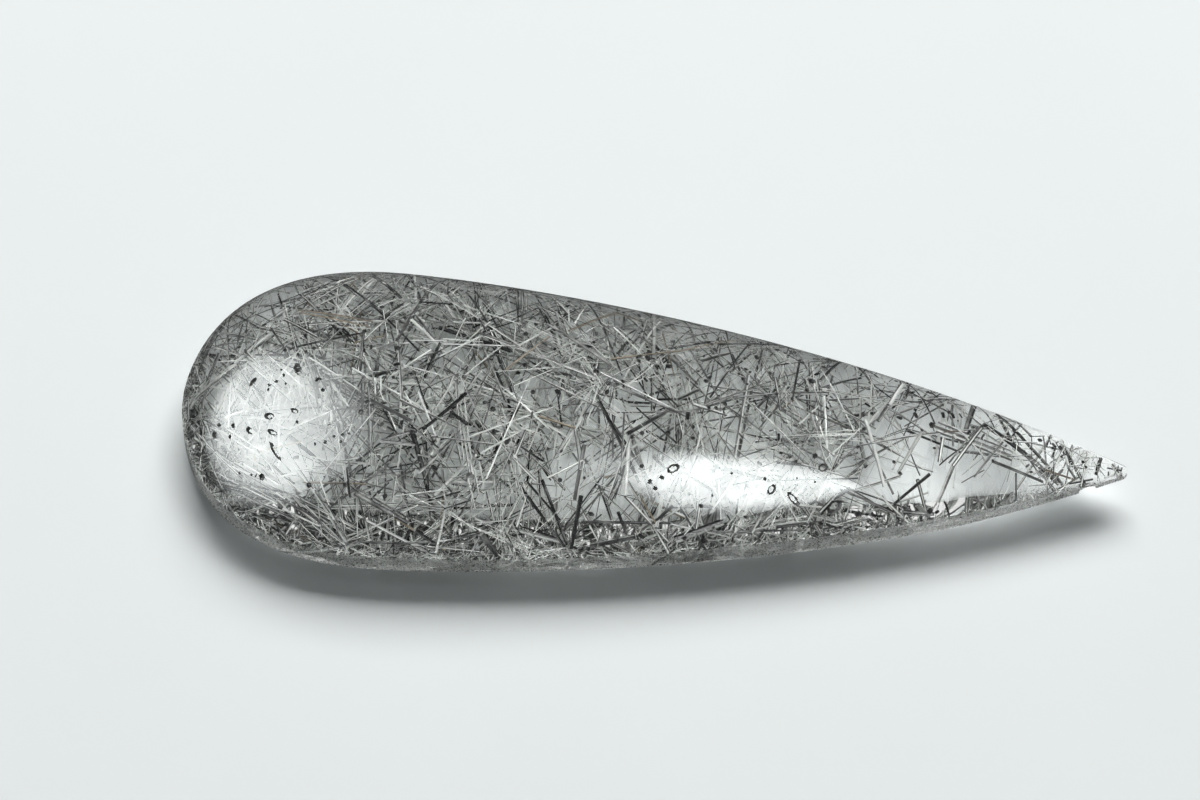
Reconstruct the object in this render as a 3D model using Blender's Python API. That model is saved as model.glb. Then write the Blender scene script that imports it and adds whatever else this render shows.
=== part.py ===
"""A polished drop of quartz: domed top, thin upright girdle, low domed back with a ground flat.

It is one solid, because the stone is one piece. The row frame has its origin under the middle of
the bounding box, +X runs from the round end to the tip, and +Z is up.
"""

import math

import bmesh
import bpy
from mathutils import Matrix, Vector
from mathutils.geometry import interpolate_bezier

MM = 0.001

# Driving dimensions, in millimetres. Along the stone, x is counted from the round end.
LENGTH = 60.0
HALF_WIDTH = 10.4
WIDEST_AT = 12.65
DOME_HEIGHT = 6.0
GIRDLE_HEIGHT = 1.6
GIRDLE_FOOT = 1.4
BACK_DEPTH = 2.4

# The outline: how far each smooth stretch leans on its end directions, and the blunt tip.
ROUND_END_REACH = 2.04
SHOULDER_REACH = 11.65
TAIL_REACH = 23.7
TIP_HALF_ANGLE = math.radians(22.5)
TIP_RADIUS = 0.45

# The domed faces. A small EDGE_LIFT makes the dome meet the girdle steeply.
EDGE_LIFT = 0.3
TAIL_TAPER = 0.5

# Near the tip the girdle's foot rises, because the back was ground away there.
TIP_RISE_LENGTH = 11.0
TIP_GIRDLE_SHARE = 0.25

# How finely the surfaces are divided.
BULB_STEPS = 22
TAIL_STEPS = 26
TIP_STEPS = 4
DOME_RINGS = 20
BACK_RINGS = 9
SPINE_START = 8.0
WELD = 0.01

# Polished-out pits on the dome: x, y from the middle of the stone, length, width, depth and turn.
PITS = (
    (-27.4, -3.8, 0.55, 0.45, 0.22, 20),
    (-26.2, -3.6, 0.36, 0.34, 0.18, 50),
    (-25.2, -1.0, 0.75, 0.38, 0.20, -50),
    (-25.1, -4.1, 0.60, 0.42, 0.20, 5),
    (-23.9, -3.4, 0.75, 0.48, 0.24, 40),
    (-23.6, -4.4, 0.80, 0.34, 0.18, 20),
    (-22.4, -0.4, 0.95, 0.50, 0.22, 10),
    (-22.3, -3.2, 0.62, 0.34, 0.18, 15),
    (-21.0, -1.2, 0.42, 0.36, 0.20, 70),
    (-23.3, -5.5, 1.60, 0.34, 0.16, -25),
    (-18.1, -3.2, 0.38, 0.32, 0.16, 80),
    (1.6, -4.4, 0.95, 0.55, 0.24, 15),
    (7.8, -4.7, 0.60, 0.36, 0.18, 45),
    (9.2, -5.0, 1.10, 0.30, 0.18, -60),
    (10.9, -3.0, 0.55, 0.45, 0.22, 0),
    (11.8, -5.0, 1.00, 0.60, 0.24, 30),
)
PIT_SIDES = 6
PIT_FLOOR_SHARE = 0.55

# The nick in the underside near the tip.
NICK_AT = (27.6, -1.35)
NICK_SIZE = (1.1, 0.7, 0.9)


def half_outline():
    """Points of the outline's +Y half from the round end to the tip, in millimetres."""
    tail_drop = HALF_WIDTH - TAIL_REACH * math.sin(TIP_HALF_ANGLE)
    tail_drop -= TIP_RADIUS * math.cos(TIP_HALF_ANGLE)
    hip_reach = SHOULDER_REACH * math.sqrt(tail_drop / (HALF_WIDTH - ROUND_END_REACH))
    start = Vector((0, 0, 0))
    widest = Vector((WIDEST_AT, HALF_WIDTH, 0))
    bulb = interpolate_bezier(
        start,
        start + Vector((0, ROUND_END_REACH, 0)),
        widest - Vector((SHOULDER_REACH, 0, 0)),
        widest,
        BULB_STEPS + 1,
    )
    lean = Vector((math.sin(TIP_HALF_ANGLE), math.cos(TIP_HALF_ANGLE), 0))
    tip_centre = Vector((LENGTH - TIP_RADIUS, 0, 0))
    touch = tip_centre + TIP_RADIUS * lean
    back_along = Vector((-lean.y, lean.x, 0))
    tail = interpolate_bezier(
        widest,
        widest + Vector((hip_reach, 0, 0)),
        touch + TAIL_REACH * back_along,
        touch,
        TAIL_STEPS + 1,
    )
    tip = []
    for step in range(1, TIP_STEPS + 1):
        angle = (math.pi / 2 - TIP_HALF_ANGLE) * (1 - step / TIP_STEPS)
        tip.append(tip_centre + TIP_RADIUS * Vector((math.cos(angle), math.sin(angle), 0)))
    return bulb + tail[1:] + tip


def half_width_at(outline, x):
    """The outline's half-width at x, read between its points."""
    for before, after in zip(outline, outline[1:]):
        if before.x <= x <= after.x:
            share = (x - before.x) / max(after.x - before.x, 1e-9)
            return before.y + share * (after.y - before.y)
    return 0.0


def spine_foot(outline, index):
    """The x on the stone's long axis that the dome's line from this outline point runs in to."""
    if index <= BULB_STEPS:
        return SPINE_START + (WIDEST_AT - SPINE_START) * index / BULB_STEPS
    tip_touch = outline[BULB_STEPS + TAIL_STEPS].x
    share = min((outline[index].x - WIDEST_AT) / (tip_touch - WIDEST_AT), 1.0)
    return WIDEST_AT + (LENGTH - TIP_RADIUS - WIDEST_AT) * share


def girdle_share(x):
    """Height of the girdle wall at x, as a share of its full height."""
    grown = min(max((LENGTH - x) / TIP_RISE_LENGTH, 0.0), 1.0)
    return TIP_GIRDLE_SHARE + (1 - TIP_GIRDLE_SHARE) * grown


def swell(x, y, half_width):
    """How far a domed face has risen at a point, from 0 at the girdle to 1 at the stone's crown."""
    local = HALF_WIDTH
    if x > WIDEST_AT:
        local = HALF_WIDTH * (half_width / HALF_WIDTH) ** TAIL_TAPER
    inside = max(half_width**2 - y**2, 0.0) / max(local, 1e-6) ** 2
    lift = math.sqrt(EDGE_LIFT + inside) - math.sqrt(EDGE_LIFT)
    return lift * (local / HALF_WIDTH) / (math.sqrt(EDGE_LIFT + 1) - math.sqrt(EDGE_LIFT))


def girdle_foot(x):
    return GIRDLE_FOOT + GIRDLE_HEIGHT * (1 - girdle_share(x))


def dome_z(outline, x, y):
    return GIRDLE_FOOT + GIRDLE_HEIGHT + DOME_HEIGHT * swell(x, y, half_width_at(outline, x))


def back_z(outline, x, y):
    return girdle_foot(x) - BACK_DEPTH * swell(x, y, half_width_at(outline, x))


def ring_share(ring, rings):
    """How far in a ring lies, from 0 at the girdle to 1 on the long axis, closer together outside."""
    step = ring / rings
    return 0.5 * step + 0.5 * (1 - math.cos(math.pi / 2 * step))


def place(x, y, z):
    return Vector(((x - LENGTH / 2) * MM, y * MM, z * MM))


def grow_face(mesh, rim, plan, feet, height, rings):
    """Extrudes the rim inwards ring by ring to the long axis and sets each ring on the face."""
    edges = rim
    count = len(plan)
    for ring in range(1, rings + 1):
        grown = bmesh.ops.extrude_edge_only(mesh, edges=edges)
        new_verts = [item for item in grown["geom"] if isinstance(item, bmesh.types.BMVert)]
        edges = [
            item
            for item in grown["geom"]
            if isinstance(item, bmesh.types.BMEdge) and all(v in new_verts for v in item.verts)
        ]
        share = ring_share(ring, rings)
        for vert in new_verts:
            index = vert[mesh.verts.layers.int["place"]]
            start = plan[index % count]
            x = start[0] + share * (feet[index % count] - start[0])
            y = start[1] * (1 - share)
            vert.co = place(x, y, height(x, y))


def stone_mesh(outline):
    """The whole closed surface: wall, dome and back, then the back ground flat at z = 0."""
    last = len(outline) - 1
    plan = [(p.x, p.y) for p in outline] + [(p.x, -p.y) for p in reversed(outline[1:last])]
    half_feet = [spine_foot(outline, index) for index in range(last + 1)]
    feet = half_feet + list(reversed(half_feet[1:last]))
    mesh = bmesh.new()
    layer = mesh.verts.layers.int.new("place")
    top_z = GIRDLE_FOOT + GIRDLE_HEIGHT
    top = [mesh.verts.new(place(x, y, top_z)) for x, y in plan]
    for index, vert in enumerate(top):
        vert[layer] = index
    pairs = list(zip(top, top[1:] + top[:1]))
    top_edges = [mesh.edges.new(pair) for pair in pairs]
    walls = bmesh.ops.extrude_edge_only(mesh, edges=top_edges)
    foot_verts = [item for item in walls["geom"] if isinstance(item, bmesh.types.BMVert)]
    foot_edges = [
        item
        for item in walls["geom"]
        if isinstance(item, bmesh.types.BMEdge) and all(v in foot_verts for v in item.verts)
    ]
    for vert in foot_verts:
        x, y = plan[vert[layer]]
        vert.co = place(x, y, girdle_foot(x))
    grow_face(mesh, top_edges, plan, feet, lambda x, y: dome_z(outline, x, y), DOME_RINGS)
    grow_face(mesh, foot_edges, plan, feet, lambda x, y: back_z(outline, x, y), BACK_RINGS)
    bmesh.ops.remove_doubles(mesh, verts=mesh.verts, dist=WELD * MM)
    everything = mesh.verts[:] + mesh.edges[:] + mesh.faces[:]
    ground = bmesh.ops.bisect_plane(
        mesh, geom=everything, plane_co=(0, 0, 0), plane_no=(0, 0, -1), clear_outer=True
    )
    cut = [item for item in ground["geom_cut"] if isinstance(item, bmesh.types.BMEdge)]
    bmesh.ops.contextual_create(mesh, geom=cut)
    bmesh.ops.dissolve_degenerate(mesh, dist=WELD * MM, edges=mesh.edges)
    bmesh.ops.triangulate(mesh, faces=mesh.faces)
    bmesh.ops.recalc_face_normals(mesh, faces=mesh.faces)
    return mesh


def object_from(mesh, name):
    data = bpy.data.meshes.new(name)
    mesh.to_mesh(data)
    mesh.free()
    made = bpy.data.objects.new(name, data)
    bpy.context.scene.collection.objects.link(made)
    return made


def dome_tilt(outline, x, y):
    """Turns +Z to the dome's own direction at a point."""
    step = 0.05
    along = (dome_z(outline, x + step, y) - dome_z(outline, x - step, y)) / (2 * step)
    across = (dome_z(outline, x, y + step) - dome_z(outline, x, y - step)) / (2 * step)
    normal = Vector((-along, -across, 1)).normalized()
    return normal.to_track_quat("Z", "Y").to_matrix().to_4x4()


def pit_cutter(outline):
    """All pits in one cutter: six-sided funnels let into the dome square to its surface."""
    mesh = bmesh.new()
    for middle_x, middle_y, long, wide, deep, turn in PITS:
        x = middle_x + LENGTH / 2
        seat = Matrix.Translation(place(x, middle_y, dome_z(outline, x, middle_y)))
        turned = Matrix.Rotation(math.radians(turn), 4, "Z")
        shape = Matrix.Diagonal((long * MM, wide * MM, deep * MM, 1))
        bmesh.ops.create_cone(
            mesh,
            cap_ends=True,
            segments=PIT_SIDES,
            radius1=0.5 * PIT_FLOOR_SHARE,
            radius2=0.5 * (2 - PIT_FLOOR_SHARE),
            depth=2.0,
            matrix=seat @ dome_tilt(outline, x, middle_y) @ turned @ shape,
        )
    return object_from(mesh, "pit_cutter")


def nick_cutter(outline):
    """A small wedge that takes the chip out of the lower edge near the tip."""
    x, y = NICK_AT[0] + LENGTH / 2, NICK_AT[1]
    mesh = bmesh.new()
    seat = Matrix.Translation(place(x, y, girdle_foot(x)))
    turned = Matrix.Rotation(math.radians(-35), 4, "X") @ Matrix.Rotation(math.radians(25), 4, "Z")
    shape = Matrix.Diagonal((NICK_SIZE[0] * MM, NICK_SIZE[1] * MM, NICK_SIZE[2] * MM, 1))
    bmesh.ops.create_cube(mesh, size=1.0, matrix=seat @ turned @ shape)
    return object_from(mesh, "nick_cutter")


def cut(target, cutter):
    cutter.hide_render = True
    cutter.display_type = "WIRE"
    step = target.modifiers.new(cutter.name, "BOOLEAN")
    step.operation = "DIFFERENCE"
    step.solver = "EXACT"
    step.object = cutter


def clear_quartz():
    material = bpy.data.materials.new("quartz")
    material.use_nodes = True
    shader = material.node_tree.nodes["Principled BSDF"]
    shader.inputs["Base Color"].default_value = (0.86, 0.88, 0.88, 1)
    shader.inputs["Roughness"].default_value = 0.03
    shader.inputs["Transmission Weight"].default_value = 1.0
    shader.inputs["IOR"].default_value = 1.544
    return material


for old in list(bpy.data.objects):
    bpy.data.objects.remove(old, do_unlink=True)

OUTLINE = half_outline()
stone = object_from(stone_mesh(OUTLINE), "quartz_drop")
stone.data.materials.append(clear_quartz())
cut(stone, pit_cutter(OUTLINE))
cut(stone, nick_cutter(OUTLINE))
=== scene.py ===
import bisect
import math
import random

import bmesh
import bpy
from mathutils import Matrix, Vector
from mathutils.bvhtree import BVHTree
from mathutils.geometry import interpolate_bezier


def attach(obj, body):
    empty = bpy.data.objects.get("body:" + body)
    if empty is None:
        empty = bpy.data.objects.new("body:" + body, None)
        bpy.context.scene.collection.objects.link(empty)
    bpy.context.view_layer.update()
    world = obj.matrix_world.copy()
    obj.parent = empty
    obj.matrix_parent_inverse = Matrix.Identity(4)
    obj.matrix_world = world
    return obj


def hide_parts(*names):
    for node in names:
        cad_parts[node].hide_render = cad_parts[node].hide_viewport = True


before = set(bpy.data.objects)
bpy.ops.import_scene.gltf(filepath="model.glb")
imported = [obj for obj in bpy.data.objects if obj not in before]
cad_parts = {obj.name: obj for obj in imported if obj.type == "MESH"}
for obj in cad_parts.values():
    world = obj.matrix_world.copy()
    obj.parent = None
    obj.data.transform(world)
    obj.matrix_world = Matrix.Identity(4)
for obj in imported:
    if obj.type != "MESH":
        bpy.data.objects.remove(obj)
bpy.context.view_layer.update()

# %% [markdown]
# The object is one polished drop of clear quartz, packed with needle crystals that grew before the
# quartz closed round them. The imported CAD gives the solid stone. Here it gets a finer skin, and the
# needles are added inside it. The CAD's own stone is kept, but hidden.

MM = 0.001

# %% [markdown]
# The camera looks down on the stone from 60 degrees, a little from the right, with a long lens, as
# in the photograph. It comes first, because the needles that can be told apart in the photograph are
# placed by the pixel they are seen at. A pixel is counted in a 1200 by 800 picture.

# %% Camera
FRAME_WIDTH_PX = 1200
FRAME_HEIGHT_PX = 800
SENSOR_MM = 36.0
CAMERA_AZIMUTH = math.radians(5.15)
CAMERA_ELEVATION = math.radians(60.0)
CAMERA_DISTANCE_MM = 400.0
PIXELS_PER_MM = 15.74
STONE_MIDDLE_PX = (653.4, 446.6)
GIRDLE_FOOT = 1.4

to_camera = Vector((
    math.sin(CAMERA_AZIMUTH) * math.cos(CAMERA_ELEVATION),
    -math.cos(CAMERA_AZIMUTH) * math.cos(CAMERA_ELEVATION),
    math.sin(CAMERA_ELEVATION),
))
camera_right = Vector((math.cos(CAMERA_AZIMUTH), math.sin(CAMERA_AZIMUTH), 0))
camera_up = to_camera.cross(camera_right)
step_right = -(STONE_MIDDLE_PX[0] - FRAME_WIDTH_PX / 2) / PIXELS_PER_MM
step_up = (STONE_MIDDLE_PX[1] - FRAME_HEIGHT_PX / 2) / PIXELS_PER_MM
camera_place = Vector((0, 0, GIRDLE_FOOT)) + CAMERA_DISTANCE_MM * to_camera
camera_place += step_right * camera_right + step_up * camera_up
focal_px = PIXELS_PER_MM * CAMERA_DISTANCE_MM

camera_data = bpy.data.cameras.new("camera")
camera_data.sensor_width = SENSOR_MM
camera_data.lens = focal_px / FRAME_WIDTH_PX * SENSOR_MM
camera_data.clip_start = 0.01
camera_data.clip_end = 20.0
camera = bpy.data.objects.new("camera", camera_data)
bpy.context.scene.collection.objects.link(camera)
camera.matrix_world = Matrix.Translation(camera_place * MM) @ Matrix(
    (camera_right, camera_up, to_camera)
).transposed().to_4x4()
bpy.context.scene.camera = camera
print("focal length in mm:", round(camera_data.lens, 1))


def sight_line(px, py):
    """The direction in which the camera sees a pixel of the photograph."""
    across = (px - FRAME_WIDTH_PX / 2) / focal_px
    upward = (FRAME_HEIGHT_PX / 2 - py) / focal_px
    return (-to_camera + across * camera_right + upward * camera_up).normalized()


# %% [markdown]
# The stone was sawn to a pear outline, domed on a wheel and given a thin upright girdle. The
# outline is two smooth Bezier stretches and a small arc for the blunt tip, with the same sizes as
# the CAD.

# %% The outline of the stone
LENGTH = 60.0
HALF_WIDTH = 10.4
WIDEST_AT = 12.65
DOME_HEIGHT = 6.0
GIRDLE_HEIGHT = 1.6
BACK_DEPTH = 2.4
ROUND_END_REACH = 2.04
SHOULDER_REACH = 11.65
TAIL_REACH = 23.7
TIP_HALF_ANGLE = math.radians(22.5)
TIP_RADIUS = 0.45
EDGE_LIFT = 0.3
TAIL_TAPER = 0.5
TIP_RISE_LENGTH = 11.0
TIP_GIRDLE_SHARE = 0.25
SPINE_START = 8.0
GIRDLE_TOP = GIRDLE_FOOT + GIRDLE_HEIGHT

BULB_STEPS = 60
TAIL_STEPS = 96
TIP_STEPS = 6
DOME_RINGS = 56
BACK_RINGS = 16


def half_outline():
    """Points of the outline's +Y half from the round end to the tip, x counted from that end."""
    tail_drop = HALF_WIDTH - TAIL_REACH * math.sin(TIP_HALF_ANGLE)
    tail_drop -= TIP_RADIUS * math.cos(TIP_HALF_ANGLE)
    hip_reach = SHOULDER_REACH * math.sqrt(tail_drop / (HALF_WIDTH - ROUND_END_REACH))
    start = Vector((0, 0, 0))
    widest = Vector((WIDEST_AT, HALF_WIDTH, 0))
    bulb = interpolate_bezier(
        start,
        start + Vector((0, ROUND_END_REACH, 0)),
        widest - Vector((SHOULDER_REACH, 0, 0)),
        widest,
        BULB_STEPS + 1,
    )
    lean = Vector((math.sin(TIP_HALF_ANGLE), math.cos(TIP_HALF_ANGLE), 0))
    tip_centre = Vector((LENGTH - TIP_RADIUS, 0, 0))
    touch = tip_centre + TIP_RADIUS * lean
    back_along = Vector((-lean.y, lean.x, 0))
    tail = interpolate_bezier(
        widest,
        widest + Vector((hip_reach, 0, 0)),
        touch + TAIL_REACH * back_along,
        touch,
        TAIL_STEPS + 1,
    )
    tip = []
    for step in range(1, TIP_STEPS + 1):
        angle = (math.pi / 2 - TIP_HALF_ANGLE) * (1 - step / TIP_STEPS)
        tip.append(tip_centre + TIP_RADIUS * Vector((math.cos(angle), math.sin(angle), 0)))
    return bulb + tail[1:] + tip


outline = half_outline()
outline_x = [p.x for p in outline]
print("outline points on one side:", len(outline))

# %% [markdown]
# Both faces are domed. A cutter's dome is steep at the girdle and flat on the crown, so a height
# follows the square root of how far inside the outline a point lies, softened at the edge. Towards
# the tip the dome sinks with the stone's width, and the girdle thins from below.

# %% Heights of the dome and the back


def half_width_at(x):
    """The outline's half-width at x, read between its points."""
    after = min(max(bisect.bisect(outline_x, x), 1), len(outline) - 1)
    low, high = outline[after - 1], outline[after]
    share = (x - low.x) / max(high.x - low.x, 1e-9)
    return max(low.y + min(max(share, 0.0), 1.0) * (high.y - low.y), 0.0)


def swell(x, y):
    """How far a domed face has risen at a point, from 0 at the girdle to 1 at the stone's crown."""
    half_width = half_width_at(x)
    local = HALF_WIDTH
    if x > WIDEST_AT:
        local = max(HALF_WIDTH * (half_width / HALF_WIDTH) ** TAIL_TAPER, 1e-6)
    inside = max(half_width**2 - y**2, 0.0) / local**2
    lift = math.sqrt(EDGE_LIFT + inside) - math.sqrt(EDGE_LIFT)
    return lift * (local / HALF_WIDTH) / (math.sqrt(EDGE_LIFT + 1) - math.sqrt(EDGE_LIFT))


def girdle_foot(x):
    grown = min(max((LENGTH - x) / TIP_RISE_LENGTH, 0.0), 1.0)
    share = TIP_GIRDLE_SHARE + (1 - TIP_GIRDLE_SHARE) * grown
    return GIRDLE_FOOT + GIRDLE_HEIGHT * (1 - share)


def dome_z(x, y):
    return GIRDLE_TOP + DOME_HEIGHT * swell(x, y)


def whole_back_z(x, y):
    """The height of the domed back before it is ground flat."""
    return girdle_foot(x) - BACK_DEPTH * swell(x, y)


def back_z(x, y):
    return max(whole_back_z(x, y), 0.0)


def place(x, y, z):
    """A point of the stone, with x from its round end and all in mm, as a place in the row frame."""
    return Vector(((x - LENGTH / 2) * MM, y * MM, z * MM))


print("crown of the dome in mm:", round(dome_z(WIDEST_AT, 0), 2))

# %% [markdown]
# The skin could be a few large patches made smooth by subdivision, but the thin girdle would then
# lose its edges. So the outline's own loop of edges is extruded: once down for the girdle, and then
# inwards in rings over the dome and over the back. Every line of points runs from the outline to
# the long axis, which gives long smooth rows of faces for a clean gloss. The back is cut off at the
# paper, as the wheel ground it flat.

# %% Growing the skin
MERGE_MM = 0.004


def spine_foot(index):
    """The x on the stone's long axis that the line from this outline point runs in to."""
    if index <= BULB_STEPS:
        return SPINE_START + (WIDEST_AT - SPINE_START) * index / BULB_STEPS
    tip_touch = outline[BULB_STEPS + TAIL_STEPS].x
    share = min((outline[index].x - WIDEST_AT) / (tip_touch - WIDEST_AT), 1.0)
    return WIDEST_AT + (LENGTH - TIP_RADIUS - WIDEST_AT) * share


def new_parts(grown, kind):
    return [item for item in grown["geom"] if isinstance(item, kind)]


def grow_face(mesh, rim, plan, feet, height, rings):
    """Extrudes the rim inwards ring by ring to the long axis and sets each ring on the face."""
    layer = mesh.verts.layers.int["place"]
    edges = rim
    for ring in range(1, rings + 1):
        grown = bmesh.ops.extrude_edge_only(mesh, edges=edges)
        verts = set(new_parts(grown, bmesh.types.BMVert))
        edges = [e for e in new_parts(grown, bmesh.types.BMEdge) if set(e.verts) <= verts]
        step = ring / rings
        share = 0.5 * step + 0.5 * (1 - math.cos(math.pi / 2 * step))
        for vert in verts:
            start = plan[vert[layer]]
            x = start[0] + share * (feet[vert[layer]] - start[0])
            y = start[1] * (1 - share)
            vert.co = place(x, y, height(x, y))


def skin_mesh():
    last = len(outline) - 1
    plan = [(p.x, p.y) for p in outline] + [(p.x, -p.y) for p in reversed(outline[1:last])]
    half_feet = [spine_foot(index) for index in range(last + 1)]
    feet = half_feet + list(reversed(half_feet[1:last]))
    mesh = bmesh.new()
    # Extruding copies this number, so that each new vertex knows its outline point.
    layer = mesh.verts.layers.int.new("place")
    top = [mesh.verts.new(place(x, y, GIRDLE_TOP)) for x, y in plan]
    for index, vert in enumerate(top):
        vert[layer] = index
    top_edges = [mesh.edges.new(pair) for pair in zip(top, top[1:] + top[:1])]
    walls = bmesh.ops.extrude_edge_only(mesh, edges=top_edges)
    foot_verts = set(new_parts(walls, bmesh.types.BMVert))
    foot_edges = [e for e in new_parts(walls, bmesh.types.BMEdge) if set(e.verts) <= foot_verts]
    for vert in foot_verts:
        x, y = plan[vert[layer]]
        vert.co = place(x, y, girdle_foot(x))
    grow_face(mesh, top_edges, plan, feet, dome_z, DOME_RINGS)
    grow_face(mesh, foot_edges, plan, feet, whole_back_z, BACK_RINGS)
    bmesh.ops.remove_doubles(mesh, verts=mesh.verts, dist=MERGE_MM * MM)
    everything = mesh.verts[:] + mesh.edges[:] + mesh.faces[:]
    ground = bmesh.ops.bisect_plane(
        mesh, geom=everything, plane_co=(0, 0, 0), plane_no=(0, 0, -1), clear_outer=True
    )
    cut = [item for item in ground["geom_cut"] if isinstance(item, bmesh.types.BMEdge)]
    bmesh.ops.contextual_create(mesh, geom=cut)
    bmesh.ops.dissolve_degenerate(mesh, dist=MERGE_MM * MM, edges=mesh.edges)
    bmesh.ops.recalc_face_normals(mesh, faces=mesh.faces)
    return mesh


skin = skin_mesh()
stone_tree = BVHTree.FromBMesh(skin)
print("skin faces:", len(skin.faces))

# %% [markdown]
# Where a needle reached the surface it tore out under the polishing wheel and left a pit, and some
# soft flakes left longer hollows. They could be painted on as bump, but a real hollow also bends
# what is seen through it. So each is a funnel set square to the dome, and a Boolean takes them all
# out. The larger ones are in the CAD too.

# %% Large pits and the nick at the tip
# x and y from the middle of the stone, then length, width, depth and turn in degrees.
LARGE_PITS = (
    (-27.4, -3.8, 0.55, 0.45, 0.22, 20),
    (-26.2, -3.6, 0.36, 0.34, 0.18, 50),
    (-25.2, -1.0, 0.75, 0.38, 0.20, -50),
    (-25.1, -4.1, 0.60, 0.42, 0.20, 5),
    (-23.9, -3.4, 0.75, 0.48, 0.24, 40),
    (-23.6, -4.4, 0.80, 0.34, 0.18, 20),
    (-22.4, -0.4, 0.95, 0.50, 0.22, 10),
    (-22.3, -3.2, 0.62, 0.34, 0.18, 15),
    (-21.0, -1.2, 0.42, 0.36, 0.20, 70),
    (-23.3, -5.5, 1.60, 0.34, 0.16, -25),
    (-18.1, -3.2, 0.38, 0.32, 0.16, 80),
    (1.6, -4.4, 0.95, 0.55, 0.24, 15),
    (7.8, -4.7, 0.80, 0.50, 0.22, 45),
    (9.2, -5.0, 1.30, 0.42, 0.22, -60),
    (10.9, -3.0, 0.70, 0.55, 0.24, 0),
    (11.8, -5.0, 1.20, 0.75, 0.26, 30),
)
PIT_FLOOR_SHARE = 0.55
NICK_AT = (27.6, -1.35)
NICK_SIZE = (1.1, 0.7, 0.9)
NICK_LEAN = math.radians(-35)
NICK_TURN = math.radians(25)
print("large pits:", len(LARGE_PITS))

# %% Small pits painted dark as shade
# The black spots of the photograph: the pixel of each and its size in mm.
BLACK_SPOTS = (
    (197, 369, 0.24), (190, 439, 0.20), (195, 466, 0.36), (208, 493, 0.26), (221, 507, 0.26),
    (219, 425, 0.30), (229, 340, 0.30), (239, 338, 0.26), (246, 331, 0.26), (236, 420, 0.26),
    (262, 477, 0.40), (271, 330, 0.22), (285, 301, 0.30), (290, 308, 0.22), (281, 308, 0.20),
    (285, 350, 0.24), (291, 349, 0.20), (297, 422, 0.26), (306, 361, 0.26), (314, 348, 0.24),
    (309, 485, 0.34), (315, 444, 0.20), (316, 281, 0.30), (319, 380, 0.36), (323, 390, 0.26),
    (330, 293, 0.24), (345, 485, 0.30), (360, 410, 0.28), (368, 401, 0.24), (382, 424, 0.22),
    (365, 331, 0.26), (385, 330, 0.22), (385, 496, 0.32), (392, 290, 0.30), (396, 294, 0.24),
    (398, 348, 0.36), (393, 350, 0.24), (405, 318, 0.28), (411, 359, 0.26), (426, 342, 0.30),
    (413, 432, 0.34), (287, 525, 0.30), (278, 547, 0.24), (320, 548, 0.28), (335, 551, 0.24),
    (488, 302, 0.26), (484, 304, 0.20), (536, 324, 0.30), (526, 334, 0.34), (533, 392, 0.30),
    (558, 392, 0.44), (564, 396, 0.26), (525, 365, 0.34), (518, 373, 0.30), (547, 365, 0.22),
    (595, 371, 0.30), (607, 392, 0.34), (594, 342, 0.24), (648, 358, 0.44), (643, 361, 0.24),
    (639, 361, 0.26), (669, 366, 0.42), (698, 371, 0.22), (706, 381, 0.30), (712, 344, 0.30),
    (749, 345, 0.38), (757, 357, 0.44), (746, 369, 0.26), (743, 379, 0.28), (750, 372, 0.22),
    (739, 374, 0.20), (747, 384, 0.20), (770, 373, 0.30), (785, 353, 0.24), (812, 381, 0.46),
    (807, 390, 0.28), (788, 388, 0.22), (709, 408, 0.22), (716, 408, 0.24), (693, 427, 0.24),
    (693, 438, 0.28), (668, 433, 0.30), (642, 433, 0.28), (632, 437, 0.26), (493, 409, 0.34),
    (494, 432, 0.38), (507, 442, 0.34), (509, 462, 0.28), (615, 446, 0.24), (560, 480, 0.26),
    (591, 514, 0.40), (701, 506, 0.28), (745, 517, 0.24), (704, 541, 0.46), (672, 546, 0.26),
    (640, 547, 0.28), (589, 549, 0.30), (781, 453, 0.24), (790, 457, 0.20), (815, 456, 0.34),
    (815, 468, 0.30), (824, 367, 0.30), (830, 366, 0.22), (822, 467, 0.36), (831, 497, 0.46),
    (858, 447, 0.26), (864, 429, 0.26), (858, 514, 0.40), (894, 462, 0.24), (895, 505, 0.28),
    (896, 381, 0.26), (922, 430, 0.24), (932, 425, 0.44), (938, 425, 0.26), (949, 412, 0.30),
    (982, 426, 0.26), (993, 461, 0.24), (1031, 472, 0.22), (1040, 440, 0.30), (1053, 448, 0.24),
    (1083, 462, 0.22), (1086, 467, 0.20), (1083, 484, 0.26), (930, 511, 0.36), (937, 512, 0.30),
    (765, 479, 0.20), (771, 485, 0.16), (766, 490, 0.18), (787, 489, 0.20), (790, 496, 0.16),
    (797, 478, 0.14), (778, 494, 0.16), (815, 482, 0.14),
)
PIT_CLUSTERS = 14
LOOSE_PITS = 50
LARGE_PIT_SIDES = 7
SMALL_PIT_SIDES = 6
SMALL_PIT_STRETCH = 1.2
SMALL_PIT_DEPTH_SHARE = 0.6
PIT_SPACING = 0.6
PIT_SPARE_GAP = 0.04
PIT_REACH = (-28.5, 27.5)
PIT_EDGE_GAP = 0.3
rng = random.Random(41)
print("black spots:", len(BLACK_SPOTS))

# %% Shaping one pit


def dome_tilt(x, y, step=0.05):
    """Turns +Z to the dome's own direction at a point."""
    along = (dome_z(x + step, y) - dome_z(x - step, y)) / (2 * step)
    across = (dome_z(x, y + step) - dome_z(x, y - step)) / (2 * step)
    return Vector((-along, -across, 1)).normalized().to_track_quat("Z", "Y").to_matrix().to_4x4()


def seat_on_dome(x, y):
    return Matrix.Translation(place(x, y, dome_z(x, y))) @ dome_tilt(x, y)


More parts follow.
